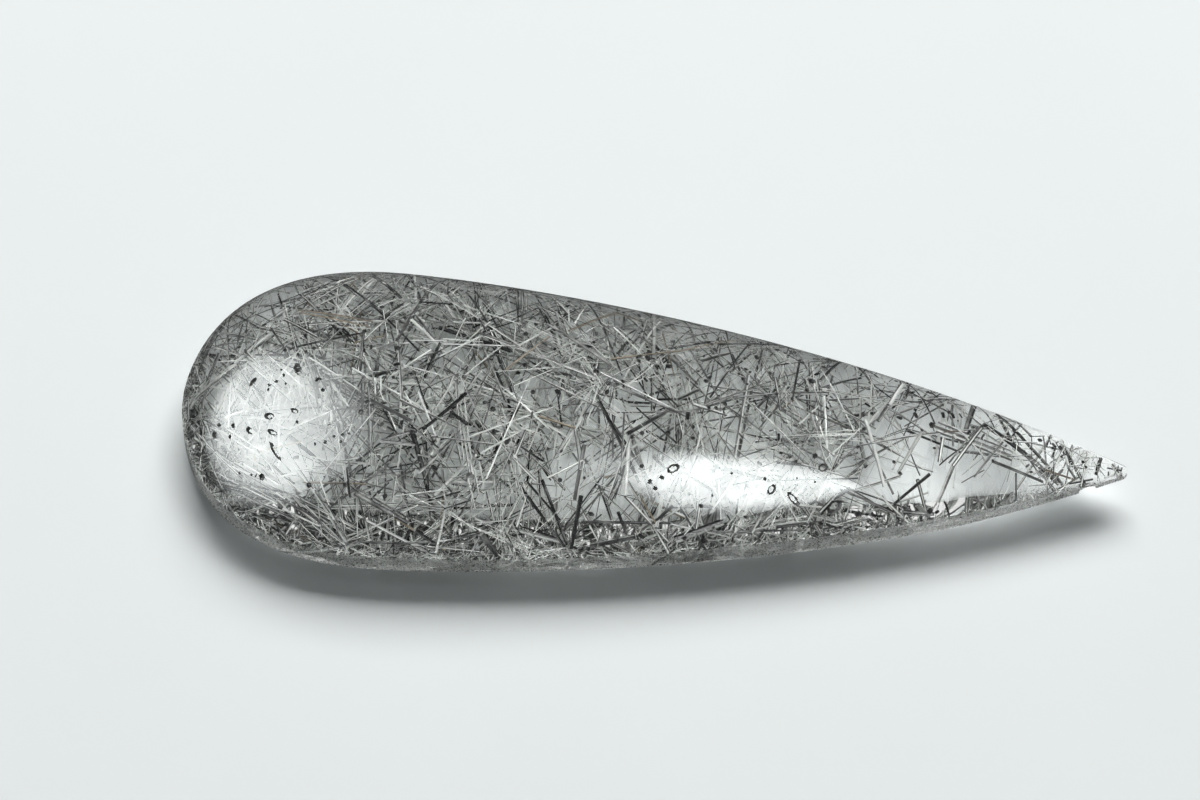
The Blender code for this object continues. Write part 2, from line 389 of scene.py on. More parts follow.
def add_pit(mesh, middle, sizes, turn, sides, clear_floor):
    """Adds one funnel. Its walls, and the floor if it isn't clear, take the second material: painted
    shade.
    """
    x, y = middle[0] + LENGTH / 2, middle[1]
    shape = Matrix.Diagonal((sizes[0] * MM, sizes[1] * MM, sizes[2] * MM, 1))
    made = bmesh.ops.create_cone(
        mesh,
        cap_ends=True,
        segments=sides,
        radius1=0.5 * PIT_FLOOR_SHARE,
        radius2=0.5 * (2 - PIT_FLOOR_SHARE),
        depth=2.0,
        matrix=seat_on_dome(x, y) @ Matrix.Rotation(math.radians(turn), 4, "Z") @ shape,
    )
    for face in {face for vert in made["verts"] for face in vert.link_faces}:
        face.material_index = 0 if clear_floor and len(face.verts) == sides else 1


def clear_of_others(x, y, size):
    for other_x, other_y, other_size in taken:
        room = PIT_SPACING * (size + other_size) + PIT_SPARE_GAP
        if math.hypot(x - other_x, y - other_y) <= room:
            return False
    return True


def add_small_pit(x, y, size):
    """Adds a small pit, painted dark as shade, if it lies on the dome and meets no other."""
    within_edge = abs(y) < half_width_at(x + LENGTH / 2) - PIT_EDGE_GAP
    if PIT_REACH[0] < x < PIT_REACH[1] and within_edge and clear_of_others(x, y, size):
        taken.append((x, y, size))
        long = SMALL_PIT_STRETCH * size
        sizes = (long, long * rng.uniform(0.6, 1), size * SMALL_PIT_DEPTH_SHARE)
        add_pit(pits, (x, y), sizes, rng.uniform(0, 180), SMALL_PIT_SIDES, False)


# %% Placing the pits
pits = bmesh.new()
taken = []
for pit_x, pit_y, long, wide, deep, turn in LARGE_PITS:
    add_pit(pits, (pit_x, pit_y), (long, wide, deep), turn, LARGE_PIT_SIDES, True)
    taken.append((pit_x, pit_y, long))
for px, py, size in BLACK_SPOTS:
    spot = stone_tree.ray_cast(camera_place * MM, sight_line(px, py))[0]
    if spot is not None:
        add_small_pit(spot.x / MM, spot.y / MM, size)
for _ in range(PIT_CLUSTERS):
    cluster_x, cluster_y = rng.uniform(-27, 26), rng.uniform(-8, 8)
    for _ in range(rng.randrange(3, 8)):
        near_x, near_y = cluster_x + rng.gauss(0, 0.5), cluster_y + rng.gauss(0, 0.4)
        add_small_pit(near_x, near_y, rng.uniform(0.1, 0.3))
for _ in range(LOOSE_PITS):
    add_small_pit(rng.uniform(-28, 27), rng.uniform(-10, 10), rng.uniform(0.1, 0.25))

nick = bmesh.new()
nick_x, nick_y = NICK_AT[0] + LENGTH / 2, NICK_AT[1]
nick_turn = Matrix.Rotation(NICK_LEAN, 4, "X") @ Matrix.Rotation(NICK_TURN, 4, "Z")
bmesh.ops.create_cube(
    nick,
    size=1.0,
    matrix=Matrix.Translation(place(nick_x, nick_y, girdle_foot(nick_x)))
    @ nick_turn
    @ Matrix.Diagonal((NICK_SIZE[0] * MM, NICK_SIZE[1] * MM, NICK_SIZE[2] * MM, 1)),
)
print("pits:", len(taken))

# %% [markdown]
# The cutters carry a second material, and the Boolean hands it on to the walls that it cuts. So
# painted shade, nearly black, can lie on a pit's walls while the floor of a large pit stays clear.

# %% Cutting the pits
SHARP_ANGLE = math.radians(28)


def object_from(mesh, name):
    data = bpy.data.meshes.new(name)
    mesh.to_mesh(data)
    mesh.free()
    made = bpy.data.objects.new(name, data)
    bpy.context.scene.collection.objects.link(made)
    return made


# The second material paints shade, nearly black, on the walls of the pits.
stone_materials = [bpy.data.materials.new(name) for name in ("clear_quartz", "pit_shade")]
stone = object_from(skin, "quartz_stone")
for material in stone_materials:
    stone.data.materials.append(material)
for cutter_mesh, cutter_name in ((pits, "pit_cutter"), (nick, "nick_cutter")):
    cutter = object_from(cutter_mesh, cutter_name)
    for material in stone_materials:
        cutter.data.materials.append(material)
    step = stone.modifiers.new(cutter_name, "BOOLEAN")
    step.operation = "DIFFERENCE"
    step.solver = "EXACT"
    step.material_mode = "TRANSFER"
    step.object = cutter
    graph = bpy.context.evaluated_depsgraph_get()
    cut_data = bpy.data.meshes.new_from_object(stone.evaluated_get(graph))
    stone.modifiers.clear()
    stone.data = cut_data
    bpy.data.objects.remove(cutter, do_unlink=True)
stone.data.shade_smooth()
stone.data.set_sharp_from_angle(angle=SHARP_ANGLE)
print("stone faces with pits:", len(stone.data.polygons))

# %% [markdown]
# Clear quartz is see-through with an index of 1.544. The polish is high on the dome and duller on
# the girdle, which was only ground. A plain Principled surface with full transmission does the
# glass, a Volume Absorption node gives the faint grey of the thickness, and fine noise in the
# roughness and the bump gives the worn polish. Where the girdle was ground, the roughness is high
# and uneven. The pits' walls get painted shade, dull and nearly black with a grey mottle.

# %% Helpers for materials


def new_material(name):
    """A material's nodes and links, its shader and its coordinates."""
    material = bpy.data.materials.get(name) or bpy.data.materials.new(name)
    material.use_nodes = True
    nodes, links = material.node_tree.nodes, material.node_tree.links
    shader = nodes["Principled BSDF"]
    places = nodes.new("ShaderNodeTexCoord")
    return material, nodes, links, shader, places


def add_noise(places, scale, detail=3.0):
    """Noise on Object coordinates. Scale counts waves per mm."""
    tree = places.id_data
    noise = tree.nodes.new("ShaderNodeTexNoise")
    noise.inputs["Scale"].default_value = scale / MM
    noise.inputs["Detail"].default_value = detail
    tree.links.new(places.outputs["Object"], noise.inputs["Vector"])
    return noise.outputs["Fac"]


def add_range(value, low, high, to_low, to_high):
    tree = value.id_data
    ranged = tree.nodes.new("ShaderNodeMapRange")
    ranged.inputs["From Min"].default_value = low
    ranged.inputs["From Max"].default_value = high
    ranged.inputs["To Min"].default_value = to_low
    ranged.inputs["To Max"].default_value = to_high
    tree.links.new(value, ranged.inputs["Value"])
    return ranged.outputs["Result"]


def add_color_mix(factor, first, second):
    tree = factor.id_data
    mixing = tree.nodes.new("ShaderNodeMix")
    mixing.data_type = "RGBA"
    mixing.inputs["A"].default_value = (*first, 1)
    mixing.inputs["B"].default_value = (*second, 1)
    tree.links.new(factor, mixing.inputs["Factor"])
    return mixing.outputs["Result"]


def add_math(operation, first, second):
    tree = first.id_data
    step = tree.nodes.new("ShaderNodeMath")
    step.operation = operation
    for socket, value in zip(step.inputs, (first, second)):
        if isinstance(value, (int, float)):
            socket.default_value = value
        else:
            tree.links.new(value, socket)
    return step.outputs["Value"]


def add_bump(shader, height, strength, distance_mm):
    tree = height.id_data
    bump = tree.nodes.new("ShaderNodeBump")
    bump.inputs["Strength"].default_value = strength
    bump.inputs["Distance"].default_value = distance_mm * MM
    tree.links.new(height, bump.inputs["Height"])
    tree.links.new(bump.outputs["Normal"], shader.inputs["Normal"])


# %% Finish of the quartz
QUARTZ_INDEX = 1.544
GIRDLE_EDGE = 0.05
POLISH_ROUGHNESS = (0.003, 0.03)
GROUND_ROUGHNESS = (0.1, 0.5)

_, nodes, links, shader, places = new_material("clear_quartz")
shader.inputs["Base Color"].default_value = (1, 1, 1, 1)
shader.inputs["Transmission Weight"].default_value = 1.0
shader.inputs["IOR"].default_value = QUARTZ_INDEX
absorb = nodes.new("ShaderNodeVolumeAbsorption")
absorb.inputs["Color"].default_value = (0.87, 0.89, 0.83, 1)
absorb.inputs["Density"].default_value = 25.0
links.new(absorb.outputs["Volume"], nodes["Material Output"].inputs["Volume"])
print("index of the quartz:", QUARTZ_INDEX)

# %% Worn polish and ground girdle
split = nodes.new("ShaderNodeSeparateXYZ")
links.new(places.outputs["Object"], split.inputs["Vector"])
lift = split.outputs["Z"]
below_top = add_range(lift, GIRDLE_TOP * MM, (GIRDLE_TOP - GIRDLE_EDGE) * MM, 0, 1)
above_foot = add_range(lift, (GIRDLE_FOOT - GIRDLE_EDGE) * MM, GIRDLE_FOOT * MM, 0, 1)
on_girdle = add_math("MULTIPLY", below_top, above_foot)
wear = add_noise(places, 0.5, 3.0)
polish = add_range(wear, 0.35, 0.75, *POLISH_ROUGHNESS)
scratches = add_noise(places, 9.0, 2.0)
ground = add_range(scratches, 0.35, 0.65, *GROUND_ROUGHNESS)
ground_wall = add_math("MULTIPLY", on_girdle, ground)
links.new(add_math("ADD", polish, ground_wall), shader.inputs["Roughness"])
fine = add_noise(places, 6.0, 2.0)
faint = add_math("MULTIPLY", fine, 0.04)
wall_marks = add_math("MULTIPLY", scratches, on_girdle)
add_bump(shader, add_math("ADD", faint, wall_marks), 0.5, 0.01)
print("nodes of the quartz:", len(nodes))

# %% Painted shade in the pits
# Painted shade: nearly black with a grey mottle, on the pits' walls.
PIT_SHADE_BLACK = (0.015, 0.015, 0.016)
PIT_SHADE_GREY = (0.16, 0.155, 0.14)
_, _, links, shader, places = new_material("pit_shade")
shade_mottle = add_range(add_noise(places, 7.0), 0.45, 0.7, 0, 1)
links.new(add_color_mix(shade_mottle, PIT_SHADE_BLACK, PIT_SHADE_GREY), shader.inputs["Base Color"])
shader.inputs["Roughness"].default_value = 0.6
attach(stone, "root")
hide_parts("quartz_drop")
print("materials of the stone:", [material.name for material in stone_materials])

# %% [markdown]
# The needles look like tourmaline: long grooved prisms, black to dark grey where solid and silvery
# where a crack or a thin air film lies along them. Hair strands would be quick to make, but the
# finished part has to be meshes. Each needle is a slim cone of a few sides, cut short just under
# the stone's surface, and each of its faces keeps a tone of its own.

# %% Where a needle may lie
SKIN_GAP = 0.06
END_GAP = 0.3


def inside_stone(point):
    """True if a point, x from the round end and in mm, lies in the quartz with room to spare."""
    x, y, z = point
    if not END_GAP < x < LENGTH - END_GAP:
        return False
    if abs(y) > half_width_at(x) - SKIN_GAP:
        return False
    return back_z(x, y) + SKIN_GAP < z < dome_z(x, y) - SKIN_GAP * 1.5


def kept_stretch(start, end, samples=25):
    """The longest stretch of a needle that lies inside the stone, or None."""
    runs = []
    run = []
    for step in range(samples + 1):
        point = start.lerp(end, step / samples)
        if inside_stone(point):
            run.append(point)
        elif run:
            runs.append(run)
            run = []
    if run:
        runs.append(run)
    best = max(runs, key=len, default=[])
    return (best[0], best[-1]) if len(best) > 1 else None


print("gap between needles and the surface in mm:", SKIN_GAP)

# %% Making one needle
MESH_FACES = 1500


def open_mesh(meshes):
    """The mesh that takes the next needle. Small meshes are quick to add to, so each is kept small."""
    if not meshes or len(meshes[-1].faces) > MESH_FACES:
        meshes.append(bmesh.new())
        # Each face stores its painted sheen: near 1 is painted lit, near 0 painted in shade.
        meshes[-1].faces.layers.float.new("sheen_tone")
    return meshes[-1]


def joined(meshes):
    whole = bmesh.new()
    for mesh in meshes:
        data = bpy.data.meshes.new("bundle")
        bmesh.ops.recalc_face_normals(mesh, faces=mesh.faces)
        mesh.to_mesh(data)
        whole.from_mesh(data)
        mesh.free()
        bpy.data.meshes.remove(data)
    return whole


def add_needle(meshes, start, end, radius, sides, taper, sheen_tones):
    """Adds one needle between two points in mm and returns its length.

    Sheen tones give the least and the most share of faces painted lit and how far a face's tone may
    stray.
    """
    kept = kept_stretch(start, end)
    if not kept:
        return 0.0
    start, end = kept
    along = end - start
    mesh = open_mesh(meshes)
    turn = along.to_track_quat("Z", "Y").to_matrix().to_4x4()
    spin = Matrix.Rotation(rng.uniform(0, math.pi), 4, "Z")
    made = bmesh.ops.create_cone(
        mesh,
        cap_ends=True,
        segments=sides,
        radius1=radius * MM,
        radius2=radius * taper * MM,
        depth=along.length * MM,
        matrix=Matrix.Translation(place(*(start + end) / 2)) @ turn @ spin,
    )
    layer = mesh.faces.layers.float["sheen_tone"]
    lit_face_share = rng.uniform(sheen_tones[0], sheen_tones[1])
    for face in dict.fromkeys(face for vert in made["verts"] for face in vert.link_faces):
        bright = 1.0 if rng.random() < lit_face_share else 0.0
        face[layer] = bright + rng.uniform(-sheen_tones[2], sheen_tones[2])
    return along.length


# %% [markdown]
# The needles that stand out in the photograph are set by the pixels they are seen at. Quartz bends
# light, so a pixel's sight line is turned at the dome by Snell's law before it is followed down.

# %% From a pixel to a place in the quartz


def seen_at(px, py, depth):
    """The place in the quartz, in mm, that the camera sees at a pixel, at a depth under the dome."""
    direction = sight_line(px, py)
    hit, normal, _, _ = stone_tree.ray_cast(camera_place * MM, direction)
    if hit is None:
        return None
    cosine = -direction.dot(normal)
    ratio = 1 / QUARTZ_INDEX
    bent = ratio * direction + (ratio * cosine - math.sqrt(1 - ratio**2 * (1 - cosine**2))) * normal
    point = hit / MM + depth * bent.normalized()
    return Vector((point.x + LENGTH / 2, point.y, point.z))


print("1 mm deep at the stone's middle:", [round(v, 1) for v in seen_at(*STONE_MIDDLE_PX, 1.0)])

# %% [markdown]
# Each entry is one needle that can be told apart: the pixels of its two ends, its thickness in mm
# and how deep its two ends lie under the dome, in mm along the bent sight line. The pixels were read
# off. The depths are guesses, since one picture can't give them.

# %% Needles that stand out
DARK_NEEDLES = (
    (373, 276, 401, 298, 0.30, 0.3, 0.6), (344, 284, 419, 351, 0.16, 0.4, 0.8),
    (289, 349, 362, 333, 0.16, 0.3, 0.6), (284, 319, 318, 337, 0.24, 0.3, 0.5),
    (271, 328, 286, 351, 0.14, 0.4, 0.4), (364, 330, 360, 374, 0.20, 0.3, 0.8),
    (380, 441, 415, 445, 0.28, 0.5, 0.7), (380, 441, 412, 431, 0.18, 0.5, 0.7),
    (412, 431, 426, 480, 0.34, 0.7, 0.9), (245, 496, 302, 523, 0.16, 0.3, 0.6),
    (355, 493, 408, 523, 0.34, 0.4, 0.8), (358, 489, 410, 519, 0.12, 0.5, 0.9),
    (415, 530, 456, 562, 0.28, 0.5, 0.8), (481, 534, 500, 558, 0.44, 0.4, 0.6),
    (466, 292, 500, 345, 0.16, 0.4, 1.0), (474, 290, 508, 348, 0.14, 0.6, 1.2),
    (480, 318, 512, 392, 0.20, 0.5, 1.5), (490, 330, 520, 405, 0.16, 0.8, 1.6),
    (484, 350, 506, 402, 0.18, 0.6, 1.2), (522, 290, 522, 324, 0.18, 0.3, 0.5),
    (518, 291, 518, 322, 0.10, 0.4, 0.6), (653, 314, 653, 359, 0.32, 0.3, 0.8),
    (588, 304, 622, 375, 0.14, 0.4, 1.0), (627, 434, 671, 409, 0.26, 0.6, 1.0),
    (677, 400, 700, 389, 0.26, 0.4, 0.7), (775, 377, 781, 411, 0.22, 0.4, 0.8),
    (800, 359, 792, 400, 0.16, 0.4, 0.6), (675, 540, 723, 522, 0.60, 0.5, 0.8),
    (581, 522, 671, 523, 0.20, 0.7, 0.9), (581, 496, 571, 549, 0.30, 0.5, 0.9),
    (542, 480, 567, 545, 0.22, 0.6, 1.0), (514, 478, 565, 547, 0.22, 0.9, 1.0),
    (618, 512, 627, 535, 0.22, 0.5, 0.6), (600, 485, 612, 520, 0.26, 0.8, 0.7),
    (527, 482, 560, 520, 0.18, 0.9, 1.2), (673, 506, 652, 524, 0.20, 0.5, 0.6),
    (776, 526, 811, 522, 0.40, 0.3, 0.4), (590, 546, 640, 536, 0.34, 0.6, 0.6),
    (820, 381, 841, 362, 0.24, 0.3, 0.4), (905, 390, 950, 413, 0.14, 0.4, 0.8),
    (889, 405, 878, 421, 0.32, 0.4, 0.5), (923, 430, 898, 473, 0.26, 0.3, 1.2),
    (943, 437, 939, 462, 0.26, 0.5, 0.8), (982, 427, 953, 466, 0.30, 0.3, 0.8),
    (978, 427, 949, 463, 0.14, 0.4, 0.9), (930, 474, 894, 504, 0.22, 0.6, 0.9),
    (1003, 442, 974, 477, 0.16, 0.6, 1.2), (974, 406, 966, 429, 0.40, 0.6, 0.9),
    (996, 414, 1030, 447, 0.26, 0.3, 0.8), (1003, 413, 1035, 444, 0.16, 0.3, 0.8),
    (1030, 447, 1066, 495, 0.22, 0.6, 1.0), (983, 424, 1063, 495, 0.34, 0.4, 1.2),
    (992, 461, 1043, 482, 0.20, 0.5, 0.8), (1059, 446, 1086, 486, 0.26, 0.3, 0.7),
    (1064, 446, 1080, 478, 0.16, 0.3, 0.7), (1016, 473, 1016, 500, 0.14, 0.5, 0.5),
    (1112, 464, 1119, 473, 0.12, 0.2, 0.3), (1052, 458, 1056, 446, 0.14, 0.3, 0.4),
    (1075, 478, 1067, 466, 0.16, 0.3, 0.5), (903, 512, 934, 514, 0.30, 0.4, 0.5),
    (917, 505, 930, 516, 0.30, 0.4, 0.5), (820, 513, 838, 494, 0.34, 0.3, 0.5),
    (836, 497, 850, 488, 0.30, 0.5, 0.8), (693, 404, 727, 415, 0.24, 0.8, 1.0),
    (184, 467, 196, 463, 0.34, 0.2, 0.3), (226, 330, 300, 300, 0.10, 0.4, 0.9),
    (200, 352, 250, 342, 0.12, 0.3, 0.7), (186, 408, 230, 372, 0.12, 0.3, 0.8),
    (184, 402, 222, 366, 0.08, 0.4, 0.9),
)
PALE_NEEDLES = (
    (438, 282, 396, 342, 0.26, 0.2, 0.5), (433, 292, 520, 346, 0.16, 0.3, 0.6),
    (480, 333, 687, 416, 0.22, 0.3, 0.7), (484, 336, 600, 380, 0.14, 0.4, 0.8),
    (600, 372, 687, 416, 0.14, 0.5, 0.8), (664, 315, 710, 368, 0.22, 0.3, 0.5),
    (668, 316, 712, 366, 0.12, 0.5, 0.7), (744, 391, 774, 386, 0.12, 0.3, 0.4),
    (736, 397, 775, 393, 0.10, 0.3, 0.4), (755, 407, 806, 457, 0.16, 0.4, 0.8),
    (625, 496, 668, 542, 0.20, 0.5, 0.8), (547, 478, 583, 460, 0.16, 0.4, 0.7),
    (822, 390, 920, 409, 0.12, 0.4, 0.7), (820, 388, 925, 406, 0.08, 0.6, 0.9),
    (903, 384, 889, 405, 0.34, 0.3, 0.5), (861, 428, 825, 460, 0.10, 0.3, 0.8),
    (934, 426, 1014, 457, 0.30, 0.8, 1.0), (936, 431, 1012, 460, 0.22, 0.9, 1.2),
    (938, 422, 1010, 450, 0.18, 0.7, 1.0), (400, 400, 458, 428, 0.20, 0.6, 0.9),
    (352, 368, 430, 412, 0.14, 0.4, 0.8), (418, 392, 438, 442, 0.16, 0.3, 0.9),
    (228, 345, 236, 400, 0.12, 0.3, 1.0), (690, 350, 720, 400, 0.14, 0.4, 0.9),
    (865, 372, 878, 398, 0.14, 0.3, 0.5), (305, 505, 345, 545, 0.16, 0.4, 0.7),
    (700, 500, 694, 540, 0.26, 0.5, 0.6), (630, 430, 625, 500, 0.30, 1.4, 1.6),
    (585, 445, 575, 500, 0.36, 1.5, 1.8), (953, 466, 938, 502, 0.28, 1.0, 1.0),
)
BROWN_NEEDLES = (
    (298, 310, 373, 322, 0.16, 0.3, 0.6), (300, 313, 370, 327, 0.12, 0.5, 0.8),
    (618, 313, 569, 331, 0.20, 0.3, 0.5), (618, 313, 641, 321, 0.24, 0.3, 0.4),
    (611, 359, 680, 351, 0.16, 0.4, 0.5), (680, 351, 740, 340, 0.12, 0.5, 0.6),
    (1045, 470, 1075, 480, 0.14, 0.6, 0.8),
)
print("needles told apart:", len(DARK_NEEDLES + PALE_NEEDLES + BROWN_NEEDLES))

# %% Setting the needles that stand out
# The least and the most share of faces painted lit, as sheen on the grooves, and how far a face's tone
# may stray.
DARK_SHEEN_TONES = (0.0, 0.40, 0.25)
PALE_SHEEN_TONES = (0.30, 0.78, 0.30)
HAZE_SHEEN_TONES = (0.5, 1.0, 0.30)
TIP_SHEEN_TONES = (0.5, 1.0, 0.2)
STUB_SHEEN_TONES = (0.0, 0.0, 0.05)
SET_SIDES = 9
BLUNT = 0.8
dark, pale, brown, haze = [], [], [], []


def set_needles(meshes, rows, sheen_tones):
    lengths = []
    for x0, y0, x1, y1, thick, depth_start, depth_end in rows:
        start, end = seen_at(x0, y0, depth_start), seen_at(x1, y1, depth_end)
        if start and end:
            lengths.append(add_needle(meshes, start, end, thick / 2, SET_SIDES, BLUNT, sheen_tones))
    print("set needles:", len(lengths), "longest mm:", round(max(lengths), 1))


set_needles(dark, DARK_NEEDLES, DARK_SHEEN_TONES)
set_needles(pale, PALE_NEEDLES, PALE_SHEEN_TONES)
set_needles(brown, BROWN_NEEDLES, PALE_SHEEN_TONES)

# %% [markdown]
# The rest of the needles grew in sprays from common roots and in loose bundles, with fine ones
# between. They come from a seeded random generator: a root, an axis and a spread for each spray.
# Few lie in the clear windows of the stone.

# %% Clear windows
# Each has its x and y from the middle of the stone and its half lengths, all in mm, and the share
# of needles that it loses in its middle.
CLEAR_WINDOWS = (
    (19.5, -2.6, 7.0, 2.6, 0.98),
    (-3.0, -7.2, 3.0, 1.4, 0.75),
    (-2.0, -1.6, 1.6, 1.4, 0.7),
    (-8.5, 1.0, 2.0, 0.8, 0.6),
    (27.0, 0.2, 2.5, 1.5, 0.5),
    (12.5, 3.0, 1.8, 1.0, 0.6),
    (-24.0, 6.0, 2.0, 1.0, 0.5),
    (8.0, -2.0, 4.0, 0.8, 0.5),
)
WINDOW_FADE = 1.6
# How far the camera's bent sight line moves along y for each mm that it goes down.
SIGHT_SLOPE = 0.36


def room_for_needle(point):
    """The chance that a random needle is kept, lower in the stone's clear windows."""
    x, y, z = point
    seen_y = y - SIGHT_SLOPE * (dome_z(x, y) - z)
    chance = 1.0
    for window_x, window_y, reach_x, reach_y, loss in CLEAR_WINDOWS:
        far = math.hypot((x - LENGTH / 2 - window_x) / reach_x, (seen_y - window_y) / reach_y)
        chance *= 1 - loss * min(max(WINDOW_FADE - far, 0.0), 1.0)
    return chance


print("clear windows:", len(CLEAR_WINDOWS))

# %% Random places and directions
POINT_END_GAP = 0.4
POINT_EDGE_GAP = 0.08
POINT_FACE_GAP = 0.1
DOME_ROOM = 0.5
TAIL_SHARE = 0.12
WALL_INSET = (0.07, 0.3)
WALL_CLEAR_FROM = 40.0
TIP_SPAN = (50.0, 58.3)
TIP_SIDES = (-0.2, 0.95)


def random_point():
    while True:
        x = rng.uniform(POINT_END_GAP, LENGTH - POINT_END_GAP)
        y = rng.uniform(-HALF_WIDTH, HALF_WIDTH)
        if abs(y) < half_width_at(x) - POINT_EDGE_GAP:
            low, high = back_z(x, y) + POINT_FACE_GAP, dome_z(x, y) - DOME_ROOM
            return Vector((x, y, rng.uniform(low, max(low, high))))


def random_axis(flatness=0.55):
    """A random direction. Most lie rather flat."""
    axis = Vector((rng.gauss(0, 1), rng.gauss(0, 1), rng.gauss(0, flatness)))
    return axis.normalized()


def face_to_face(x, y):
    """A random height between the back and the dome."""
    return rng.uniform(back_z(x, y) + POINT_FACE_GAP, dome_z(x, y) - POINT_FACE_GAP)


def rim_point(inset=(0.1, 1.0), clear_from=44.0):
    """A random point in the outermost millimetre of the stone. Few lie in its clear tail."""
    while True:
        index = rng.randrange(1, len(outline) - 1)
        if outline[index].x < clear_from or rng.random() < TAIL_SHARE:
            break
    rim = outline[index]
    foot = Vector((spine_foot(index), 0, 0))
    spot = rim + (foot - rim).normalized() * rng.uniform(*inset)
    side = rng.choice((-1, 1))
    return Vector((spot.x, spot.y * side, face_to_face(spot.x, spot.y)))


def wall_point():
    """A random point close behind the near wall of the girdle."""
    spot = rim_point(WALL_INSET, WALL_CLEAR_FROM)
    return Vector((spot.x, -abs(spot.y), spot.z))


def tip_point():
    """A random point near the tip, mostly in its far half."""
    x = rng.uniform(*TIP_SPAN)
    y = rng.uniform(*TIP_SIDES) * half_width_at(x)
    return Vector((x, y, face_to_face(x, y)))


print("share of rim needles kept in the tail:", TAIL_SHARE)

# %% Sprays and single needles
ROOT_REACH = 0.8
SPRAY_FLATNESS = 0.6
SPRAY_TAPER = 0.5


def add_spray(meshes, count, spread, length, radius, sides, sheen_tones):
    """Needles that fan out from one root round a common axis."""
    root = random_point()
    axis = random_axis()
    for _ in range(count):
        upward = spread * SPRAY_FLATNESS
        fan = Vector((rng.gauss(0, spread), rng.gauss(0, spread), rng.gauss(0, upward)))
        way = (axis + fan).normalized() * rng.choice((-1, 1, 1))
        start = root + random_axis() * rng.uniform(0, ROOT_REACH)
        end = start + way * rng.uniform(*length)
        if rng.random() < room_for_needle((start + end) / 2):
            add_needle(meshes, start, end, rng.uniform(*radius), sides, SPRAY_TAPER, sheen_tones)


def add_singles(meshes, count, length, radius, sides, sheen_tones, spot):
    for _ in range(count):
        middle = spot()
        way = random_axis() * rng.uniform(*length) / 2
        if spot is not random_point or rng.random() < room_for_needle(middle):
            add_needle(meshes, middle - way, middle + way, rng.uniform(*radius), sides, BLUNT, sheen_tones)


# Where the needles go, how many sprays and needles in each, how wide they fan out, the least and the
# most length and radius in mm, their sides and their painted sheen and tones.
SPRAYS = (
    (haze, 170, 14, (0.02, 0.25), (2.0, 7.0), (0.015, 0.035), 3, HAZE_SHEEN_TONES),
    (dark, 45, 6, (0.05, 0.4), (2.5, 7.0), (0.03, 0.08), 4, DARK_SHEEN_TONES),
    (pale, 170, 8, (0.04, 0.5), (2.0, 7.0), (0.03, 0.09), 5, PALE_SHEEN_TONES),
)
# The same for single needles, with the kind of place that they lie in.
SINGLES = (
    (dark, 260, (2.0, 6.0), (0.03, 0.08), 6, DARK_SHEEN_TONES, random_point),
    (dark, 110, (2.0, 6.0), (0.08, 0.15), 8, DARK_SHEEN_TONES, random_point),
    (pale, 700, (2.0, 7.0), (0.03, 0.08), 6, PALE_SHEEN_TONES, random_point),
    (pale, 260, (3.0, 9.0), (0.06, 0.13), 9, PALE_SHEEN_TONES, random_point),
    (brown, 40, (1.5, 5.0), (0.04, 0.09), 6, PALE_SHEEN_TONES, random_point),
    (pale, 260, (1.0, 3.5), (0.03, 0.08), 5, PALE_SHEEN_TONES, rim_point),
    (dark, 320, (0.8, 3.0), (0.03, 0.07), 5, DARK_SHEEN_TONES, rim_point),
    (haze, 1400, (0.3, 1.2), (0.012, 0.03), 3, HAZE_SHEEN_TONES, wall_point),
    (haze, 260, (0.4, 1.8), (0.012, 0.03), 3, TIP_SHEEN_TONES, tip_point),
    (dark, 16, (0.6, 2.2), (0.03, 0.06), 6, DARK_SHEEN_TONES, tip_point),
)
for meshes, sprays, count, spread, length, radius, sides, sheen_tones in SPRAYS:
    for _ in range(sprays):
        add_spray(meshes, count, rng.uniform(*spread), length, radius, sides, sheen_tones)
for row in SINGLES:
    add_singles(*row)
print("needle faces:", sum(len(mesh.faces) for mesh in dark + pale + brown + haze))

# %% [markdown]
# A thick needle that ends at the polish shows its cut end as a black spot. Longer needles rarely
# end there by chance, so short dark stubs are strewn just under the dome.

# %% Cut needle ends under the dome
STUB_COUNT = 140
STUB_DEPTH = 0.1
STUB_HEIGHT = 0.35
STUB_LEAN = 0.3
STUB_STEEPNESS = 1.4
STUB_RADII = (0.05, 0.14)
for _ in range(STUB_COUNT):
    x = rng.uniform(1.5, LENGTH - 3)
    y = rng.uniform(-1, 1) * (half_width_at(x) - 0.5)
    tilt = random_axis(STUB_STEEPNESS)
    top = Vector((x, y, dome_z(x, y) - STUB_DEPTH))
    if rng.random() < room_for_needle(top):
        foot = top - Vector((tilt.x * STUB_LEAN, tilt.y * STUB_LEAN, STUB_HEIGHT))
        add_needle(dark, top, foot, rng.uniform(*STUB_RADII), 6, BLUNT, STUB_SHEEN_TONES)
print("dark needle faces with stubs:", sum(len(mesh.faces) for mesh in dark))

# %% [markdown]
# The dark needles have the glassy lustre of tourmaline, and the pale ones are silvery where light
# catches a thin film. The fine haze is light grey. All are grooved, so that thin lines lit and in
# shade run side by side along a needle. Grooves this fine would need far more faces, so this light
# and shade is painted instead: the share that each face got when it was made picks between a shaded
# and a lit copy of its colour, and noise shifts it from place to place.

# %% Finishes of the needles
# How far noise shifts the painted light and shade along a needle.
SHEEN_SHIFT = 0.35
GRAIN_WAVES = 14.0
SMOOTHER = 0.08
ROUGHER = 0.12


